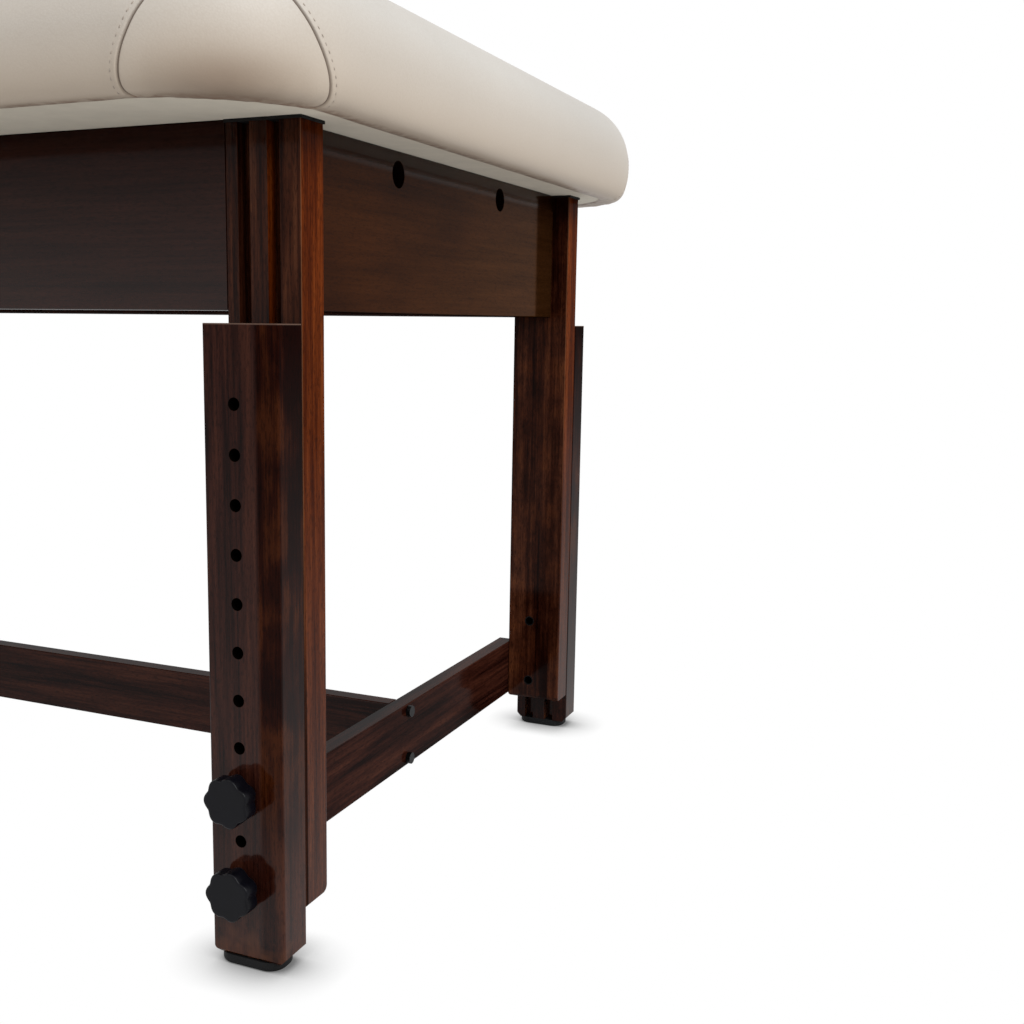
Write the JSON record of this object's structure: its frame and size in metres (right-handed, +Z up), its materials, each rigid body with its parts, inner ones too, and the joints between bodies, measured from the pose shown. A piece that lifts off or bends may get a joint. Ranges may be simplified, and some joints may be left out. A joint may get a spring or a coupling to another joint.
{
  "type": "stationary massage table",
  "caption": "Padded massage table on grooved dark wood corner legs that lengthen in steps and lock with star knobs, with aprons, stretchers and face rest sockets.",
  "frame": {"origin": "on the floor under the middle of the top", "axes": "+X to the head end with the face rest sockets, +Y across to the far side, +Z up"},
  "size_m": [1.85, 0.75, 0.65],
  "materials": {
    "vinyl": "soft satin grain",
    "foam": "open cell",
    "liner": "pale faced fibreboard",
    "plywood": "sanded",
    "plain_wood": "sanded",
    "dark_wood": "dark stain under semi-gloss lacquer",
    "knob_black": "fine texture",
    "rubber": "matt",
    "black_steel": "black oxide",
    "zinc_steel": "zinc plated"
  },
  "bodies": {
    "table_frame": {"apron_screws": "zinc_steel", "corner_block_foot_far": "plain_wood", "corner_block_foot_near": "plain_wood", "corner_block_head_far": "plain_wood", "corner_block_head_near": "plain_wood", "cross_rib_foot": "plain_wood", "cross_rib_head": "plain_wood", "deck_board": "plywood", "deck_cleats": "plain_wood", "deck_screws": "zinc_steel", "end_stretcher_foot": "dark_wood", "end_stretcher_head": "dark_wood", "end_stretcher_screws": "zinc_steel", "face_rest_block_far": "plain_wood", "face_rest_block_near": "plain_wood", "fixed_leg_foot_far": "dark_wood", "fixed_leg_foot_near": "dark_wood", "fixed_leg_head_far": "dark_wood", "fixed_leg_head_near": "dark_wood", "foam_core": "foam", "foot_apron": "dark_wood", "guide_keys": "plain_wood", "head_apron": "dark_wood", "leg_bolt_inserts": "zinc_steel", "leg_bolts": "zinc_steel", "leg_top_pads": "rubber", "lock_inserts": "black_steel", "long_stretcher": "dark_wood", "side_apron_far": "dark_wood", "side_apron_near": "dark_wood", "stretcher_bolts": "black_steel", "underside_liner": "liner", "vinyl_cover": "vinyl"},
    "extension_head_near": {"extension_leg_head_near": "dark_wood", "rubber_foot_head_near": "rubber", "foot_screws_head_near": "zinc_steel"},
    "knob_head_near_upper": {"lock_knob_head_near_upper": "knob_black"},
    "knob_head_near_lower": {"lock_knob_head_near_lower": "knob_black"},
    "extension_head_far": {"extension_leg_head_far": "dark_wood", "rubber_foot_head_far": "rubber", "foot_screws_head_far": "zinc_steel"},
    "knob_head_far_upper": {"lock_knob_head_far_upper": "knob_black"},
    "knob_head_far_lower": {"lock_knob_head_far_lower": "knob_black"},
    "extension_foot_near": {"extension_leg_foot_near": "dark_wood", "rubber_foot_foot_near": "rubber", "foot_screws_foot_near": "zinc_steel"},
    "knob_foot_near_upper": {"lock_knob_foot_near_upper": "knob_black"},
    "knob_foot_near_lower": {"lock_knob_foot_near_lower": "knob_black"},
    "extension_foot_far": {"extension_leg_foot_far": "dark_wood", "rubber_foot_foot_far": "rubber", "foot_screws_foot_far": "zinc_steel"},
    "knob_foot_far_upper": {"lock_knob_foot_far_upper": "knob_black"},
    "knob_foot_far_lower": {"lock_knob_foot_far_lower": "knob_black"}
  },
  "joints": [
    {"name": "leg_slide_head_near", "type": "slide", "parent": "table_frame", "child": "extension_head_near", "axis": [0, 0, -1], "range_m": [0, 0.256]},
    {"name": "knob_turn_head_near_lower", "type": "hinge", "parent": "table_frame", "child": "knob_head_near_lower", "pos_m": [0.85, -0.2954, 0.057], "axis": [0, -1, 0], "continuous": true},
    {"name": "knob_turn_head_near_upper", "type": "hinge", "parent": "table_frame", "child": "knob_head_near_upper", "pos_m": [0.85, -0.2954, 0.121], "axis": [0, -1, 0], "continuous": true},
    {"name": "leg_slide_head_far", "type": "slide", "parent": "table_frame", "child": "extension_head_far", "axis": [0, 0, -1], "range_m": [0, 0.256]},
    {"name": "knob_turn_head_far_lower", "type": "hinge", "parent": "table_frame", "child": "knob_head_far_lower", "pos_m": [0.85, 0.2954, 0.057], "axis": [0, 1, 0], "continuous": true},
    {"name": "knob_turn_head_far_upper", "type": "hinge", "parent": "table_frame", "child": "knob_head_far_upper", "pos_m": [0.85, 0.2954, 0.121], "axis": [0, 1, 0], "continuous": true},
    {"name": "leg_slide_foot_near", "type": "slide", "parent": "table_frame", "child": "extension_foot_near", "axis": [0, 0, -1], "range_m": [0, 0.256]},
    {"name": "knob_turn_foot_near_lower", "type": "hinge", "parent": "table_frame", "child": "knob_foot_near_lower", "pos_m": [-0.85, -0.2954, 0.057], "axis": [0, -1, 0], "continuous": true},
    {"name": "knob_turn_foot_near_upper", "type": "hinge", "parent": "table_frame", "child": "knob_foot_near_upper", "pos_m": [-0.85, -0.2954, 0.121], "axis": [0, -1, 0], "continuous": true},
    {"name": "leg_slide_foot_far", "type": "slide", "parent": "table_frame", "child": "extension_foot_far", "axis": [0, 0, -1], "range_m": [0, 0.256]},
    {"name": "knob_turn_foot_far_lower", "type": "hinge", "parent": "table_frame", "child": "knob_foot_far_lower", "pos_m": [-0.85, 0.2954, 0.057], "axis": [0, 1, 0], "continuous": true},
    {"name": "knob_turn_foot_far_upper", "type": "hinge", "parent": "table_frame", "child": "knob_foot_far_upper", "pos_m": [-0.85, 0.2954, 0.121], "axis": [0, 1, 0], "continuous": true}
  ]
}
